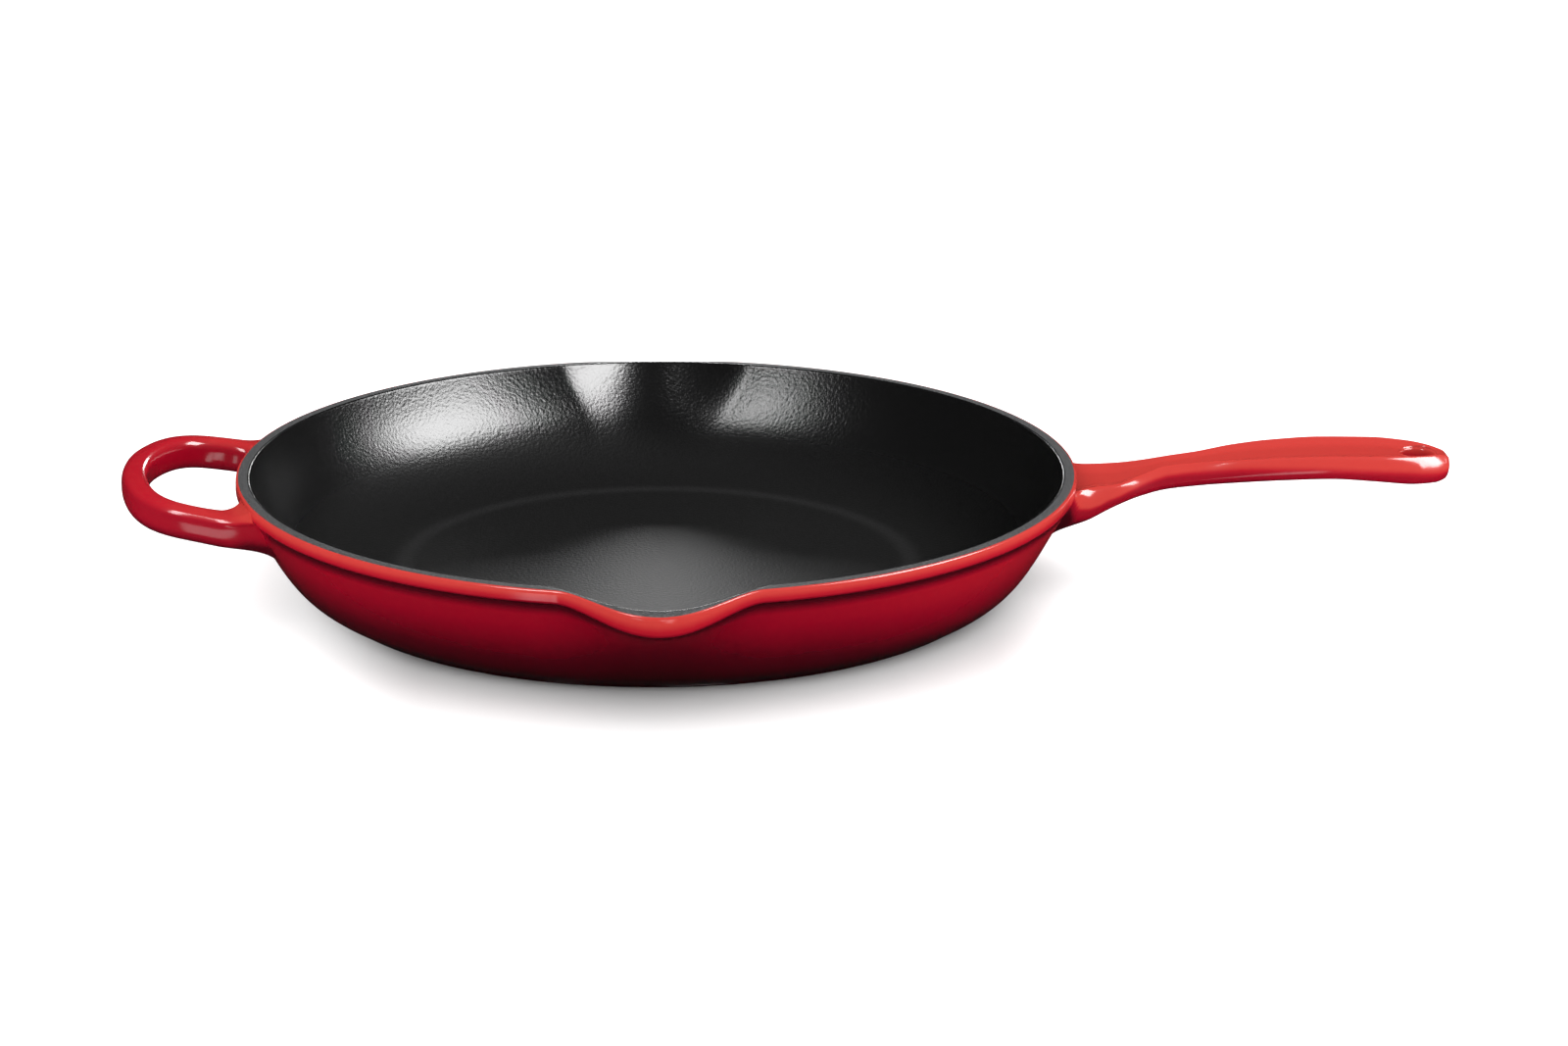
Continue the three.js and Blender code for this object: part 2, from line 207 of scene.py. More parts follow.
def outside_profile():
    """Outside of the bowl from the edge of the foot up to the lip, and the coat value of each point,
    with painted shade in the crease and under the band.
    """
    wall = curve_points([(91.6, -1.2), (120.7, -1.2), (120.5, 8.2), (134.0, 31.3)], 70)
    wall = wall[wall[:, 0] > FOOT_RADIUS + 0.9]
    top = RIM_HEIGHT
    crease = (RIM_RADIUS - 0.4, top - BAND_HEIGHT)
    low_edge = (RIM_RADIUS + BAND_BULGE, top - BAND_HEIGHT + 0.5)
    high_edge = (RIM_RADIUS + BAND_BULGE - 0.1, top)
    lip = (RIM_RADIUS + 0.1, top - 0.05)
    foot = round_corner((FOOT_RADIUS - 1.5, 0), (FOOT_RADIUS, 0), (FOOT_RADIUS, FOOT_HEIGHT), 0.9)
    step = round_corner(foot[-1], (FOOT_RADIUS + 0.1, FOOT_HEIGHT - 0.05), wall[0], 0.4)
    points = [
        foot,
        step,
        wall[:-2],
        round_corner(wall[-2], crease, low_edge, 0.45),
        round_corner(crease, low_edge, high_edge, 0.8),
        round_corner(low_edge, high_edge, lip, 1.3, 9),
        [lip],
    ]
    points = np.vstack(points)
    return points, np.interp(points[:, 1] - top, GLAZE_AND_SHADE_HEIGHTS, GLAZE_AND_SHADE_VALUES)


def inside_profile():
    lip = (RIM_RADIUS - LIP_WIDTH, RIM_HEIGHT)
    turn = [(FLOOR_RADIUS, FLOOR_HEIGHT), (114.5, FLOOR_HEIGHT), (122.5, 15.0), lip]
    wall = curve_points(turn, 70)[:-1]
    edge = round_corner(wall[-1], lip, (lip[0] + 1.0, RIM_HEIGHT), 0.55)
    floor = [(radius, FLOOR_HEIGHT) for radius in (0.5, 10, 20, 30, 40, 50, 60, 70, 77)]
    return np.vstack([floor, wall, edge])


def revolve(name, profile, wrap, glaze_and_shade=None, half_angles=None):
    if half_angles is None:
        half_angles = [None] * len(profile)
    rings = [
        bowl_points(radius, height, ANGLES, half_angle)
        for (radius, height), half_angle in zip(profile, half_angles)
    ]
    return mesh_from_rings(name, rings, wrap, glaze_and_shade)


def make_exterior():
    outer, glaze_and_shade = outside_profile()
    inner = outer.copy()
    inner[:, 0] -= 0.8
    inner[:, 1] = np.minimum(inner[:, 1] + 0.25, RIM_HEIGHT - 0.5)
    profile = np.vstack([outer, inner[::-1]])
    # painted light on the side of the handle, where more light falls, and painted shadow just under the
    # pouring lips, where they overhang
    on_side = smooth((RIM_HEIGHT - 5.5 - profile[:, 1]) / 3.0)[:, None]
    right_side_light = 0.13 * smooth((np.cos(ANGLES) - 0.3) / 0.5)
    spout_shadow = 0.38 * spout_amount(ANGLES, 17.0)
    glaze_and_shade = np.concatenate([glaze_and_shade, glaze_and_shade[::-1]])[:, None]
    glaze_and_shade = glaze_and_shade + on_side * (right_side_light * smooth(glaze_and_shade / 0.3) - spout_shadow * glaze_and_shade)
    return revolve("bowl_exterior", profile, True, glaze_and_shade)


def make_interior():
    inner = inside_profile()
    outer = inner.copy()
    outer[:, 0] += 0.7 * smooth((inner[:, 0] - 80.0) / 30.0)
    outer[:, 1] = np.minimum(outer[:, 1] - 0.5, RIM_HEIGHT - 0.9)
    profile = np.vstack([inner, outer[::-1]])
    half_angles = groove_half_angle(np.concatenate([inner[:, 1], inner[::-1, 1]]))
    return revolve("bowl_interior", profile, False, half_angles=half_angles)


def make_lip():
    top = RIM_HEIGHT
    inside = RIM_RADIUS - LIP_WIDTH + 0.35
    outside = RIM_RADIUS + 0.35
    low = top - 0.8
    inner_edge = [(inside, low), *round_corner((inside, low), (inside, top), (outside, top), 0.25)]
    outer_edge = [*round_corner((inside, top), (outside, top), (outside, low), 0.5), (outside, low)]
    half_angles = [groove_half_angle(top)] * len(inner_edge) + [None] * len(outer_edge)
    return revolve("lip_ring", np.array(inner_edge + outer_edge), True, half_angles=half_angles)


def make_base():
    radius = FOOT_RADIUS - 0.7
    under = [(0.5, 0.0), (40.0, 0.0), (80.0, 0.0), (radius - 0.3, 0.0)]
    edge = [(radius, 0.12), (radius, 0.4), (0.5, 0.4)]
    return revolve("base_coat", np.array(under + edge), False)


OUTSIDE = outside_profile()[0]


def outside_radius(height):
    """Radius of the bowl's outside, away from the pouring lips, at a height."""
    order = np.argsort(OUTSIDE[:, 1])
    return np.interp(height, OUTSIDE[order, 1], OUTSIDE[order, 0])


def on_wall(y, height, side):
    """Points of the bowl's outside at these y and heights, on the +X or -X side, and their normals."""
    radius = outside_radius(height)
    x = side * np.sqrt(radius**2 - y**2)
    slope = (outside_radius(height + 0.2) - outside_radius(height - 0.2)) / 0.4
    normal = np.column_stack([x / radius, y / radius, -slope])
    normal /= np.linalg.norm(normal, axis=1)[:, None]
    return np.column_stack([x, y, height]), normal


# ---------------------------------------------------------------- handles


def flare_rings(start, heading, target, normal, centre, spread, steps=16):
    """Rings that leave a section along its heading and run out tangent to the bowl's wall."""
    outward_way = target - centre
    outward_way -= np.sum(outward_way * normal, axis=1)[:, None] * normal
    outward_way /= np.maximum(np.linalg.norm(outward_way, axis=1)[:, None], 1e-6)
    reach = np.linalg.norm(target - start, axis=1)[:, None]
    begin = heading * reach
    finish = outward_way * reach * spread[:, None]
    rings = []
    for t in np.linspace(0.0, 1.0, steps + 1)[1:]:
        h00 = 2 * t**3 - 3 * t**2 + 1
        h10 = t**3 - 2 * t**2 + t
        h01 = -2 * t**3 + 3 * t**2
        h11 = t**3 - t**2
        ring = h00 * start + h10 * begin + h01 * target + h11 * finish
        rings.append(ring - normal * 0.06 * smooth((t - 0.7) / 0.3))
    rings.append(target - normal * 1.2 - outward_way * 0.3)
    return rings


SECTION_NAMES = ("x", "ridge", "crest", "side", "shoulder", "belly", "under", "dish")
SECTIONS = np.array([
    (127.4, 19.5, -5.4, 25.0, 3.8, 17.0, -22.1, 1.0),
    (134.5, 16.0, -4.9, 20.5, 4.0, 14.2, -18.8, 1.2),
    (140.5, 13.4, -4.4, 17.0, 4.0, 12.2, -15.9, 1.3),
    (148.6, 12.2, -3.8, 14.6, 4.0, 10.5, -12.2, 1.4),
    (156.7, 8.4, -1.9, 12.6, 4.2, 9.1, -9.3, 1.4),
    (165.7, 5.6, 0.4, 11.0, 4.4, 7.9, -7.3, 1.1),
    (175.8, 6.3, 1.7, 10.9, 4.4, 7.8, -6.2, 1.0),
    (189.0, 9.4, 3.3, 11.8, 4.2, 8.5, -5.1, 1.2),
    (202.1, 11.1, 4.4, 13.0, 4.0, 9.4, -4.2, 1.4),
    (218.3, 11.9, 5.1, 13.9, 3.8, 10.0, -3.6, 1.5),
    (234.5, 11.6, 5.0, 13.9, 3.8, 10.0, -4.6, 1.5),
    (246.7, 9.5, 4.4, 12.9, 4.3, 9.3, -5.6, 1.5),
    (252.6, 6.5, 3.9, 10.8, 4.1, 7.8, -5.6, 0.7),
    (256.5, 3.8, 3.1, 7.9, 3.2, 5.6, -5.0, 0.2),
    (258.3, 2.9, 2.1, 5.0, 2.0, 3.4, -3.7, 0.0),
    (258.9, 0.8, 0.5, 1.6, 1.0, 1.0, -1.6, 0.0),
])


def gentle_curve(places, values, wanted):
    """Smooth interpolation that never overshoots the listed values."""
    gaps = np.diff(places)
    slopes = np.diff(values) / gaps
    tangents = np.zeros(len(places))
    tangents[0] = slopes[0]
    tangents[-1] = slopes[-1]
    for i in range(1, len(places) - 1):
        if slopes[i - 1] * slopes[i] > 0:
            a = 2 * gaps[i] + gaps[i - 1]
            b = gaps[i] + 2 * gaps[i - 1]
            tangents[i] = (a + b) / (a / slopes[i - 1] + b / slopes[i])
    i = np.clip(np.searchsorted(places, wanted) - 1, 0, len(places) - 2)
    t = (wanted - places[i]) / gaps[i]
    return (
        values[i] * (1 + 2 * t) * (1 - t) ** 2
        + gaps[i] * tangents[i] * t * (1 - t) ** 2
        + values[i + 1] * t * t * (3 - 2 * t)
        + gaps[i] * tangents[i + 1] * t * t * (t - 1)
    )


def section_at(x):
    return {
        name: gentle_curve(SECTIONS[:, 0], SECTIONS[:, column], x)
        for column, name in enumerate(SECTION_NAMES)
    }


def cut_corners(outline, passes):
    for _ in range(passes):
        ahead = np.roll(outline, -1, axis=0)
        pairs = [0.75 * outline + 0.25 * ahead, 0.25 * outline + 0.75 * ahead]
        outline = np.stack(pairs, axis=1).reshape(-1, 2)
    return outline


def handle_ring(x):
    s = section_at(x)
    crest = RIM_HEIGHT + s["crest"]
    under = RIM_HEIGHT + s["under"]
    side_top = crest - s["shoulder"]
    side_low = min(under + 2.8, side_top - 0.1)
    right = [
        (0.6 * s["ridge"], crest - s["dish"]),
        (0.9 * s["ridge"], crest - 0.15),
        (1.1 * s["ridge"], crest + 0.15),
        (s["side"], side_top),
        (s["side"], side_low),
        (s["belly"], under - 0.1),
    ]
    left = [(-y, z) for y, z in reversed(right)]
    outline = np.array([(0, crest - s["dish"]), *right, (0, under), *left])
    outline = cut_corners(outline, 3)
    return np.column_stack([np.full(len(outline), x), outline])


def long_handle_rings():
    """Rings from the bowl's wall to the handle's end, closer together over the rounded tip."""
    tip_start = 248.0
    tip_end = HANDLE_END - 0.05
    body = [handle_ring(x) for x in np.linspace(HANDLE_FLARE_X, tip_start, 150)]
    from_end = (tip_end - tip_start) * np.linspace(1.0, 0.0, 30)[1:] ** 2
    tip = [handle_ring(x) for x in tip_end - from_end]
    start = handle_ring(HANDLE_FLARE_X)
    heading = start - handle_ring(HANDLE_FLARE_X + 1.0)
    heading /= np.linalg.norm(heading, axis=1)[:, None]
    root = handle_ring(HANDLE_ROOT_X)
    middle = RIM_HEIGHT - 9.5
    above = smooth((root[:, 2] - middle) / 5.0)
    height = middle + (root[:, 2] - middle) * (1.25 - 0.1 * above)
    height = np.minimum(height, RIM_HEIGHT - 1.0)
    y = root[:, 1] * (1.3 + 0.1 * above)
    target, normal = on_wall(y, height, 1.0)
    centre = np.column_stack([target[:, 0], 0.35 * y, np.full(len(y), middle)])
    sideways = smooth(np.abs(root[:, 1]) / 16.0)
    spread = 0.35 + 0.55 * np.maximum(sideways, 1.0 - above)
    flare = flare_rings(start, heading, target, normal, centre, spread)
    return flare[::-1] + body + tip


def make_long_handle():
    handle = mesh_from_rings("long_handle", long_handle_rings())
    cutter = hang_hole_cutter()
    cut = handle.modifiers.new("hang hole", "BOOLEAN")
    cut.operation = "DIFFERENCE"
    cut.solver = "EXACT"
    cut.object = cutter
    bpy.context.view_layer.update()
    evaluated = handle.evaluated_get(bpy.context.evaluated_depsgraph_get())
    mesh = bpy.data.meshes.new_from_object(evaluated)
    mesh.name = "long_handle"
    handle.modifiers.clear()
    handle.data = mesh
    bpy.data.objects.remove(cutter)
    for polygon in mesh.polygons:
        polygon.use_smooth = True
    set_glaze_and_shade(mesh, handle_glaze_and_shade(np.array([v.co[:] for v in mesh.vertices]) / MM))
    return handle


def hang_hole_cutter():
    """A hole with softly rounded ends that run out level with the faces it passes through."""
    around = np.linspace(0, 2 * math.pi, 64, endpoint=False)
    fillet = 0.8
    top = RIM_HEIGHT + 2.9
    bottom = RIM_HEIGHT - 5.75
    quarter = np.linspace(0, 0.5 * math.pi, 9)
    high = [(fillet * (1 - math.cos(a)), top - fillet + fillet * math.sin(a)) for a in quarter]
    low = [(fillet * (1 - math.cos(a)), bottom + fillet - fillet * math.sin(a)) for a in quarter[::-1]]
    steps = [(fillet, bottom - 8), *low, *high, (fillet, top + 8)]
    rings = []
    for extra, height in steps:
        rings.append(np.column_stack([
            HANG_HOLE_X + (HANG_HOLE_HALF_LENGTH + extra) * np.cos(around),
            (HANG_HOLE_HALF_WIDTH + extra) * np.sin(around),
            np.full(len(around), height),
        ]))
    return mesh_from_rings("hang_hole_cutter", rings)


# depth below the crest where the handle turns from orange to dark: partly the coat, partly painted shade
GLAZE_AND_SHADE_TURN = np.array([
    (134.0, 5.3), (139.0, 6.3), (142.5, 5.8), (146.0, 4.4), (152.0, 3.2), (158.5, 2.6),
    (173.0, 2.6), (189.0, 2.9), (202.0, 3.6), (218.0, 4.4), (234.0, 5.0), (259.0, 5.4),
])


def handle_glaze_and_shade(points):
    """Orange on the handle's top and shoulders and dark on its sides and underside, partly a thin and
    thick coat and partly painted shade; the hang hole is darkened with painted shade.
    """
    x, y, z = points.T
    s = section_at(np.clip(x, 134.0, 253.0))
    crest = RIM_HEIGHT + s["crest"]
    turn = crest - np.interp(x, GLAZE_AND_SHADE_TURN[:, 0], GLAZE_AND_SHADE_TURN[:, 1])
    off_wall = np.hypot(x, y) - RIM_RADIUS - BAND_BULGE
    to_band = (1 - smooth(off_wall / 1.6)) * smooth((np.abs(y) - 18.5) / 3.5)
    turn = turn * (1 - to_band) + (RIM_HEIGHT - BAND_HEIGHT) * to_band
    softness = 1.8 - to_band + 1.8 * smooth((x - 165.0) / 30.0)
    above = smooth((z - turn) / softness + 0.5)
    dark = 0.54 - 0.45 * smooth((turn - z - 2.0) / 5.0)
    # painted shade inside the hang hole
    hole = smooth((7.6 - np.hypot(x - HANG_HOLE_X, y)) / 2.0) * smooth((crest - 2.0 - z) / 2.0)
    return (dark + (1.0 - dark) * above) * (1 - hole) + 0.2 * hole


LOOP_PLAN = np.array([
    (-138.2, 41.2), (-143.5, 40.2), (-148.4, 39.9), (-153.8, 38.8),
    (-158.7, 35.2), (-163.1, 28.0), (-166.3, 18.6), (-168.4, 8.9), (-168.7, 0.0),
])


def loop_path():
    """The helper loop's centre line as evenly spaced points, with their headings."""
    plan = np.vstack([LOOP_PLAN, LOOP_PLAN[-2::-1] * (1, -1)])
    length = np.concatenate([[0], np.cumsum(np.linalg.norm(np.diff(plan, axis=0), axis=1))])
    fine = np.linspace(0, length[-1], 121)
    points = plan
    for _ in range(3):
        points = np.column_stack([np.interp(fine, length, points[:, k]) for k in (0, 1)])
        kernel = np.ones(9) / 9.0
        padded = np.vstack([
            2 * points[0] - points[4:0:-1],
            points,
            2 * points[-1] - points[-2:-6:-1],
        ])
        points = np.column_stack([np.convolve(padded[:, k], kernel, "valid") for k in (0, 1)])
        length = fine
    heading = np.gradient(points, axis=0)
    heading /= np.linalg.norm(heading, axis=1)[:, None]
    return points, heading


def loop_lift(x):
    """How far the loop has risen above its level part at the bowl."""
    return LOOP_RISE * np.maximum(0.0, LOOP_LEVEL_X - x)


def loop_ring(point, heading):
    """Rounded section of the loop, wider on the inside where it nears the bowl."""
    half = LOOP_HALF_THICKNESS - 0.5 * smooth((-150.0 - point[0]) / 18.0)
    middle = LOOP_MIDDLE + loop_lift(point[0])
    near_bowl = np.clip((point[0] + 145.0) / 7.0, 0.0, 1.0) ** 2
    angle = np.linspace(0, 2 * math.pi, 72, endpoint=False)
    across = np.sign(np.cos(angle)) * np.abs(np.cos(angle)) ** LOOP_SQUARENESS * half
    up = np.sign(np.sin(angle)) * np.abs(np.sin(angle)) ** LOOP_SQUARENESS * LOOP_HALF_HEIGHT
    x = point[0] + heading[1] * across
    y = point[1] - heading[0] * across
    inner = np.clip((np.abs(point[1]) - np.abs(y)) / half, 0.0, 1.0)
    y = y - math.copysign(2.0, point[1]) * near_bowl * inner
    return np.column_stack([x, y, middle + up])


def arm_flare(ring, before, point):
    """The foot of one arm of the helper loop, spreading on to the bowl's wall."""
    heading = ring - before
    heading /= np.linalg.norm(heading, axis=1)[:, None]
    side = math.copysign(1.0, point[1])
    across = (ring[:, 1] - point[1]) * side
    lifted = ring[:, 2] - LOOP_MIDDLE
    y = point[1] + side * across * np.where(across > 0, 2.3, 1.7)
    height = LOOP_MIDDLE + lifted * np.where(lifted > 0, 1.5, 2.1)
    height = np.minimum(height, RIM_HEIGHT - 1.0)
    target, normal = on_wall(y, height, -1.0)
    centre = np.column_stack([target[:, 0], np.full(len(y), point[1]), np.full(len(y), LOOP_MIDDLE)])
    return flare_rings(ring, heading, target, normal, centre, np.full(len(ring), 0.85))


def make_helper_handle():
    points, headings = loop_path()
    rings = [loop_ring(p, h) for p, h in zip(points, headings)]
    first = arm_flare(rings[0], rings[1], points[0])
    last = arm_flare(rings[-1], rings[-2], points[-1])
    rings = first[::-1] + rings + last
    loop = mesh_from_rings("helper_handle", rings)
    set_glaze_and_shade(loop.data, loop_glaze_and_shade(np.array([v.co[:] for v in loop.data.vertices]) / MM))
    return loop


def loop_glaze_and_shade(points):
    """A little orange along the loop's top edges, crimson on its sides and darker underneath, partly the
    coat and partly painted shade.
    """
    x, y, z = points.T
    off_wall = np.hypot(x, y) - RIM_RADIUS - BAND_BULGE
    to_band = 1 - smooth(off_wall / 6.0)
    lift = loop_lift(x)
    turn = (LOOP_TOP + lift - 1.9) * (1 - to_band) + (RIM_HEIGHT - BAND_HEIGHT + 0.2) * to_band
    above = smooth((z - turn) / (2.2 - 1.2 * to_band) + 0.5)
    dark = 0.58 - 0.4 * smooth((turn - z - 4.5) / 5.0)
    thin = 0.84 + 0.14 * to_band - 0.08 * smooth((-145.0 - x) / 15.0)
    return dark + (thin - dark) * above


# ---------------------------------------------------------------- materials


def new_material(name):
    material = bpy.data.materials.new(name)
    material.use_nodes = True
    nodes = material.node_tree.nodes
    shader = nodes["Principled BSDF"]
    return material, nodes, material.node_tree.links, shader


def noise(nodes, links, coordinates, scale, detail=2.0):
    texture = nodes.new("ShaderNodeTexNoise")
    texture.inputs["Scale"].default_value = scale
    texture.inputs["Detail"].default_value = detail
    links.new(coordinates, texture.inputs["Vector"])
    return texture.outputs["Fac"]


def bump(nodes, links, height, shader, strength, distance):
    node = nodes.new("ShaderNodeBump")
    node.inputs["Strength"].default_value = strength
    node.inputs["Distance"].default_value = distance
    links.new(height, node.inputs["Height"])
    links.new(node.outputs["Normal"], shader.inputs["Normal"])


def position(nodes):
    return nodes.new("ShaderNodeTexCoord").outputs["Object"]


def ramp(nodes, links, factor, stops):
    node = nodes.new("ShaderNodeValToRGB")
    elements = node.color_ramp.elements
    while len(elements) < len(stops):
        elements.new(0.5)
    for element, (place, colour) in zip(elements, stops):
        element.position = place
        element.color = (*colour, 1.0)
    links.new(factor, node.inputs["Fac"])
    return node.outputs["Color"]


def math_node(nodes, links, operation, first, second=0.0):
    node = nodes.new("ShaderNodeMath")
    node.operation = operation
    for socket, value in zip(node.inputs, (first, second)):
        if isinstance(value, (int, float)):
            socket.default_value = value
        else:
            links.new(value, socket)
    return node.outputs["Value"]


def map_range(nodes, links, value, source, target):
    node = nodes.new("ShaderNodeMapRange")
    node.interpolation_type = "SMOOTHSTEP"
    for name, number in zip(("From Min", "From Max", "To Min", "To Max"), (*source, *target)):
        node.inputs[name].default_value = number
    links.new(value, node.inputs["Value"])
    return node.outputs["Result"]


def red_enamel():
    """Gloss enamel, orange red where the coat is thin and deepening to near black where it is thick; the
    per-vertex value it reads also carries painted light and shade.
    """
    material, nodes, links, shader = new_material("red_enamel")
    where = position(nodes)
    glaze_and_shade = nodes.new("ShaderNodeAttribute")
    glaze_and_shade.attribute_name = "glaze_and_shade"
    mottle = noise(nodes, links, where, 420.0, 3.0)
    small = math_node(nodes, links, "MULTIPLY", math_node(nodes, links, "SUBTRACT", mottle, 0.5), 0.06)
    factor = math_node(nodes, links, "ADD", glaze_and_shade.outputs["Fac"], small)
    colour = ramp(nodes, links, factor, [
        (0.0, (0.008, 0.0004, 0.001)),
        (0.25, (0.055, 0.0004, 0.004)),
        (0.5, (0.19, 0.0, 0.008)),
        (0.75, (0.31, 0.004, 0.012)),
        (1.0, (0.42, 0.032, 0.026)),
    ])
    links.new(colour, shader.inputs["Base Color"])
    shader.inputs["Roughness"].default_value = 0.16
    shader.inputs["IOR"].default_value = 1.5
    bump(nodes, links, noise(nodes, links, where, 260.0, 2.0), shader, 0.05, 0.0004)
    return material


def black_enamel():
    """Satin black enamel with a fine orange peel, duller on the cooking floor than up the wall.

    A paler ring, a painted highlight, runs round where the floor turns up.
    """
    material, nodes, links, shader = new_material("black_enamel")
    where = position(nodes)
    split = nodes.new("ShaderNodeSeparateXYZ")
    links.new(where, split.inputs["Vector"])
    along = math_node(nodes, links, "POWER", split.outputs["X"], 2.0)
    across = math_node(nodes, links, "POWER", split.outputs["Y"], 2.0)
    radius = math_node(nodes, links, "SQRT", math_node(nodes, links, "ADD", along, across))
    turn_radius = (FLOOR_RADIUS + 1.0) * MM
    from_turn = math_node(nodes, links, "SUBTRACT", radius, turn_radius)
    from_turn = math_node(nodes, links, "ABSOLUTE", from_turn)
    # painted highlight: a pale ring in the base colour where the floor turns up
    bend_highlight = map_range(nodes, links, from_turn, (0.0, 0.006), (0.5, 0.0))
    grain = noise(nodes, links, where, 900.0, 2.0)
    shade = math_node(nodes, links, "ADD", math_node(nodes, links, "MULTIPLY", grain, 0.3), bend_highlight)
    colour = ramp(nodes, links, shade, [
        (0.0, (0.0032, 0.0032, 0.0033)),
        (0.25, (0.0050, 0.0050, 0.0052)),
        (0.75, (0.0140, 0.0140, 0.0144)),
    ])
    links.new(colour, shader.inputs["Base Color"])
    roughness = map_range(nodes, links, split.outputs["Z"], (0.005, 0.020), (0.46, 0.22))
    links.new(roughness, shader.inputs["Roughness"])
    shader.inputs["IOR"].default_value = 1.5
    bump(nodes, links, noise(nodes, links, where, 950.0, 4.0), shader, 0.5, 0.00027)
    return material


def grey_enamel():
    """Matt ground coat with fine dark and pale specks."""
    material, nodes, links, shader = new_material("grey_enamel")
    where = position(nodes)
    specks = noise(nodes, links, where, 1500.0, 4.0)
    colour = ramp(nodes, links, specks, [
        (0.3, (0.016, 0.017, 0.018)),
        (0.52, (0.046, 0.047, 0.049)),
        (0.75, (0.11, 0.11, 0.114)),
    ])
    links.new(colour, shader.inputs["Base Color"])
    shader.inputs["Roughness"].default_value = 0.6
    bump(nodes, links, specks, shader, 0.4, 0.0002)
    return material


def base_enamel():
    """The dark satin coat under the pan."""
    material, nodes, links, shader = new_material("base_enamel")
    where = position(nodes)
    colour = ramp(nodes, links, noise(nodes, links, where, 90.0, 4.0), [
        (0.3, (0.010, 0.0025, 0.004)),
        (0.7, (0.024, 0.004, 0.007)),
    ])
    links.new(colour, shader.inputs["Base Color"])
    shader.inputs["Roughness"].default_value = 0.45
    bump(nodes, links, noise(nodes, links, where, 500.0, 3.0), shader, 0.2, 0.0003)
    return material


# ---------------------------------------------------------------- pieces


def add_piece(piece, material, slot, *nodes):
    piece.data.materials.clear()
    piece.data.materials.append(material)
    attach(piece, "root")
    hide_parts(*nodes)


RED = red_enamel()
add_piece(make_exterior(), RED, "red_enamel", "exterior_enamel", "bowl_casting")
add_piece(make_interior(), black_enamel(), "black_enamel", "interior_enamel")
add_piece(make_lip(), grey_enamel(), "grey_enamel", "rim_enamel")
add_piece(make_base(), base_enamel(), "base_enamel", "base_enamel")
add_piece(make_long_handle(), RED, "red_enamel", "long_handle_enamel", "long_handle_casting")
add_piece(make_helper_handle(), RED, "red_enamel", "helper_handle_enamel", "helper_handle_casting")


# ---------------------------------------------------------------- floor, lights and camera


def make_floor():
    mesh = bpy.data.meshes.new("floor")
    half = 9.0
    corners = [(-half, -half, 0), (half, -half, 0), (half, half, 0), (-half, half, 0)]
    mesh.from_pydata(corners, [], [(0, 1, 2, 3)])
    floor = bpy.data.objects.new("floor", mesh)
    bpy.context.scene.collection.objects.link(floor)
    floor.location.z = -0.0001
    material, nodes, links, shader = new_material("floor")
    shader.inputs["Base Color"].default_value = (0.8, 0.79, 0.79, 1)
    shader.inputs["Roughness"].default_value = 0.9
    shader.inputs["Specular IOR Level"].default_value = 0.0
    # a little light comes up through the table at both ends, where the shadow stays faint
    split = nodes.new("ShaderNodeSeparateXYZ")
    links.new(position(nodes), split.inputs["Vector"])
    from_middle = math_node(nodes, links, "SUBTRACT", split.outputs["X"], 0.015)
    from_middle = math_node(nodes, links, "ABSOLUTE", from_middle)
    glow = map_range(nodes, links, from_middle, (0.085, 0.13), (0.0, 0.45))
    links.new(glow, shader.inputs["Emission Strength"])
    shader.inputs["Emission Color"].default_value = (1, 1, 1, 1)
    mesh.materials.append(material)
    floor.visible_glossy = False


def soft_box(name, azimuth, elevation, distance, width, height, radiance):
    """A rectangular light seen only in reflections, facing the bowl from the given angles in degrees."""
    light = bpy.data.lights.new(name, "AREA")
    light.shape = "RECTANGLE"
    light.size = width
    light.size_y = height
    light.energy = radiance * math.pi * width * height
    lamp = bpy.data.objects.new(name, light)
    bpy.context.scene.collection.objects.link(lamp)
    around = math.radians(azimuth)
    above = math.radians(elevation)
    direction = Vector((
        math.cos(around) * math.cos(above),
        math.sin(around) * math.cos(above),
        math.sin(above),
    ))
    lamp.location = direction * distance + Vector((0, 0, 0.02))
    lamp.rotation_euler = direction.to_track_quat("Z", "Y").to_euler()
    lamp.visible_camera = False
    lamp.visible_diffuse = False


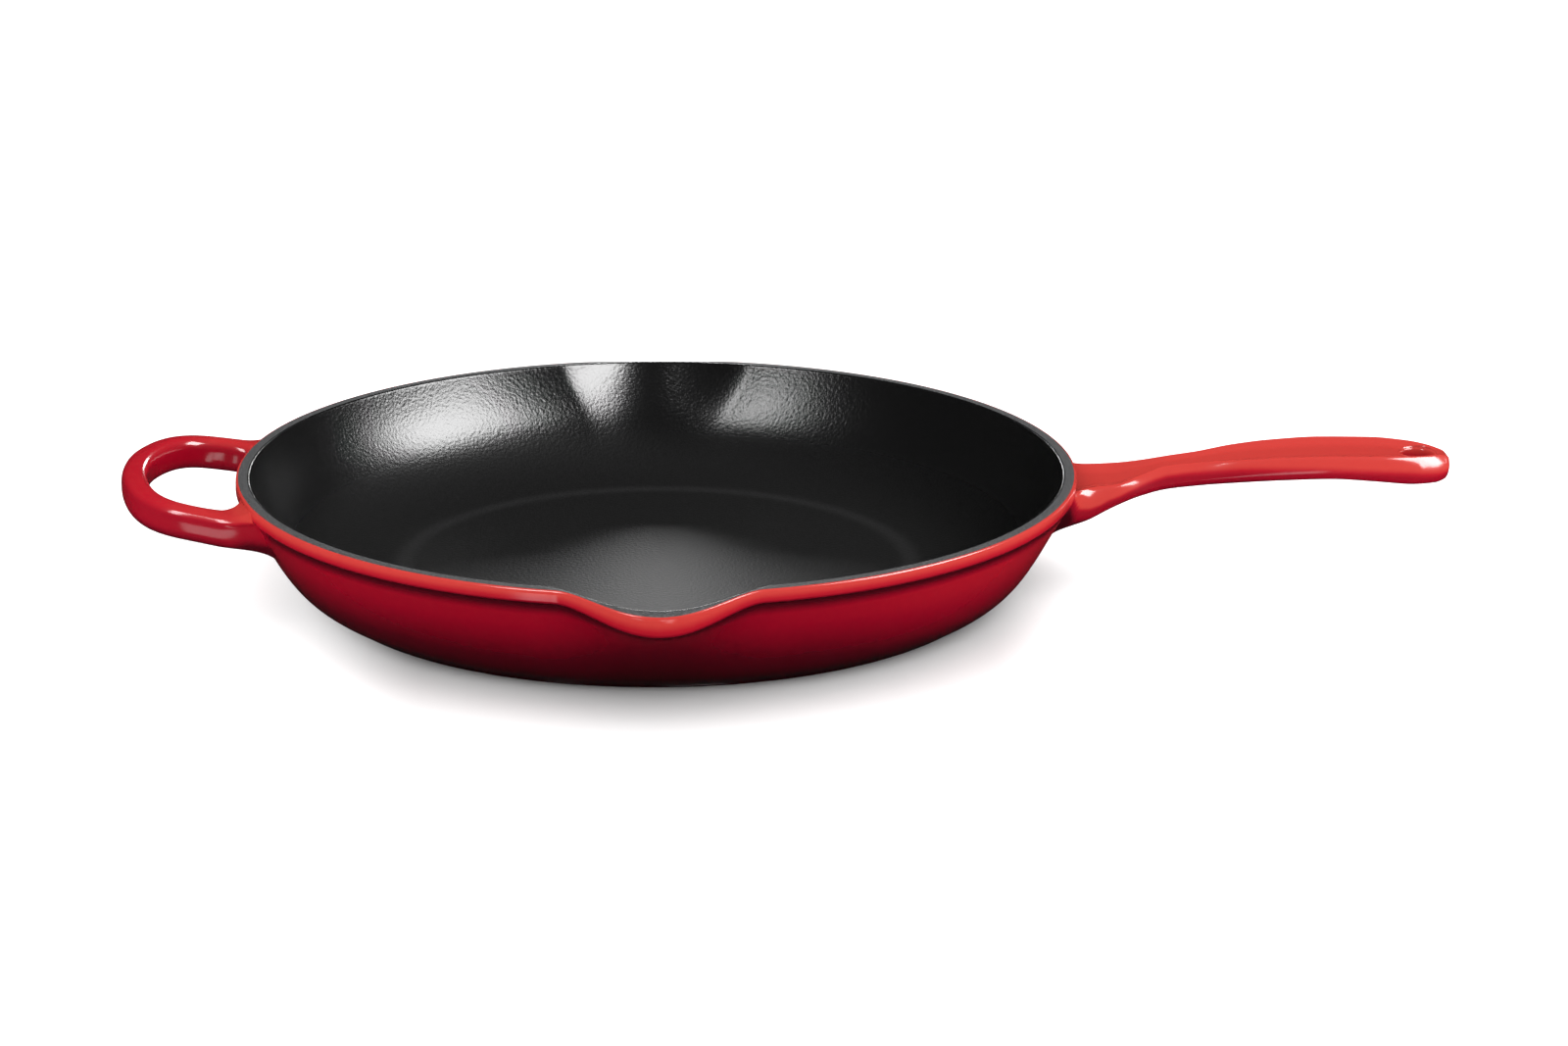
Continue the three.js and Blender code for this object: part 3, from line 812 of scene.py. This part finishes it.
def make_world():
    """White for the camera and dark in reflections.

    The soft light is strongest from above and both ends, and a little more from behind and the right.
    """
    world = bpy.data.worlds.new("studio")
    bpy.context.scene.world = world
    world.use_nodes = True
    world.cycles.sampling_method = "NONE"
    nodes, links = world.node_tree.nodes, world.node_tree.links
    background = nodes["Background"]
    path = nodes.new("ShaderNodeLightPath")
    split = nodes.new("ShaderNodeSeparateXYZ")
    links.new(nodes.new("ShaderNodeTexCoord").outputs["Generated"], split.inputs["Vector"])
    sideways = math_node(nodes, links, "ABSOLUTE", split.outputs["X"])
    light = 1.4
    for direction, strength in (
        (split.outputs["X"], 0.45),
        (sideways, 0.75),
        (split.outputs["Y"], 0.3),
        (split.outputs["Z"], 0.5),
    ):
        share = math_node(nodes, links, "MULTIPLY", direction, strength)
        light = math_node(nodes, links, "ADD", share, light)
    reflected = math_node(nodes, links, "MULTIPLY", path.outputs["Is Glossy Ray"], 0.01)
    soft = math_node(nodes, links, "MULTIPLY", path.outputs["Is Diffuse Ray"], light)
    seen = math_node(nodes, links, "ADD", path.outputs["Is Camera Ray"], reflected)
    links.new(math_node(nodes, links, "ADD", seen, soft), background.inputs["Strength"])
    background.inputs["Color"].default_value = (1.0, 1.0, 1.0, 1)


CAMERA_ELEVATION = 17.01
CAMERA_TURN = 2.2
CAMERA_ROLL = 0.372
CAMERA_DISTANCE = 1.215
LENS = 85.4
# the middle of the picture: how far along the pan's long axis, and how high, in mm
AIM_ALONG = 41.2
AIM_HEIGHT = 18.4


def make_camera():
    """In front of a pouring lip, looking down a little at the whole length of the pan."""
    camera_data = bpy.data.cameras.new("camera")
    camera_data.sensor_width = 36.0
    camera_data.sensor_fit = "HORIZONTAL"
    camera_data.lens = LENS
    camera = bpy.data.objects.new("camera", camera_data)
    bpy.context.scene.collection.objects.link(camera)
    elevation = math.radians(CAMERA_ELEVATION)
    turned = math.radians(CAMERA_TURN)
    looking = Vector((
        math.sin(turned) * math.cos(elevation),
        math.cos(turned) * math.cos(elevation),
        -math.sin(elevation),
    ))
    target = Vector((AIM_ALONG * math.cos(turned), -AIM_ALONG * math.sin(turned), AIM_HEIGHT)) * MM
    camera.location = target - looking * CAMERA_DISTANCE
    roll = Matrix.Rotation(math.radians(CAMERA_ROLL), 4, "Z")
    turn = looking.to_track_quat("-Z", "Y").to_matrix().to_4x4() @ roll
    camera.rotation_euler = turn.to_euler()
    bpy.context.scene.camera = camera


make_floor()
make_world()
make_camera()
bpy.context.scene.view_settings.view_transform = "Standard"
bpy.context.scene.view_settings.look = "None"

# name, azimuth and elevation in degrees, distance, width and height in metres, radiance
soft_box("right_box", -10, 39, 1.3, 0.94, 0.66, 20.0)
soft_box("left_box", -129, 46, 1.3, 0.28, 0.75, 16.0)
soft_box("back_strip", 90, 10.3, 0.6, 0.08, 0.08, 17.0)
soft_box("front_card", -85, -14, 1.0, 0.12, 0.26, 3.5)
soft_box("front_right_card", -75, -20, 1.0, 0.16, 0.50, 3.0)
soft_box("front_left_card", -120, -16, 1.06, 0.17, 0.26, 2.5)
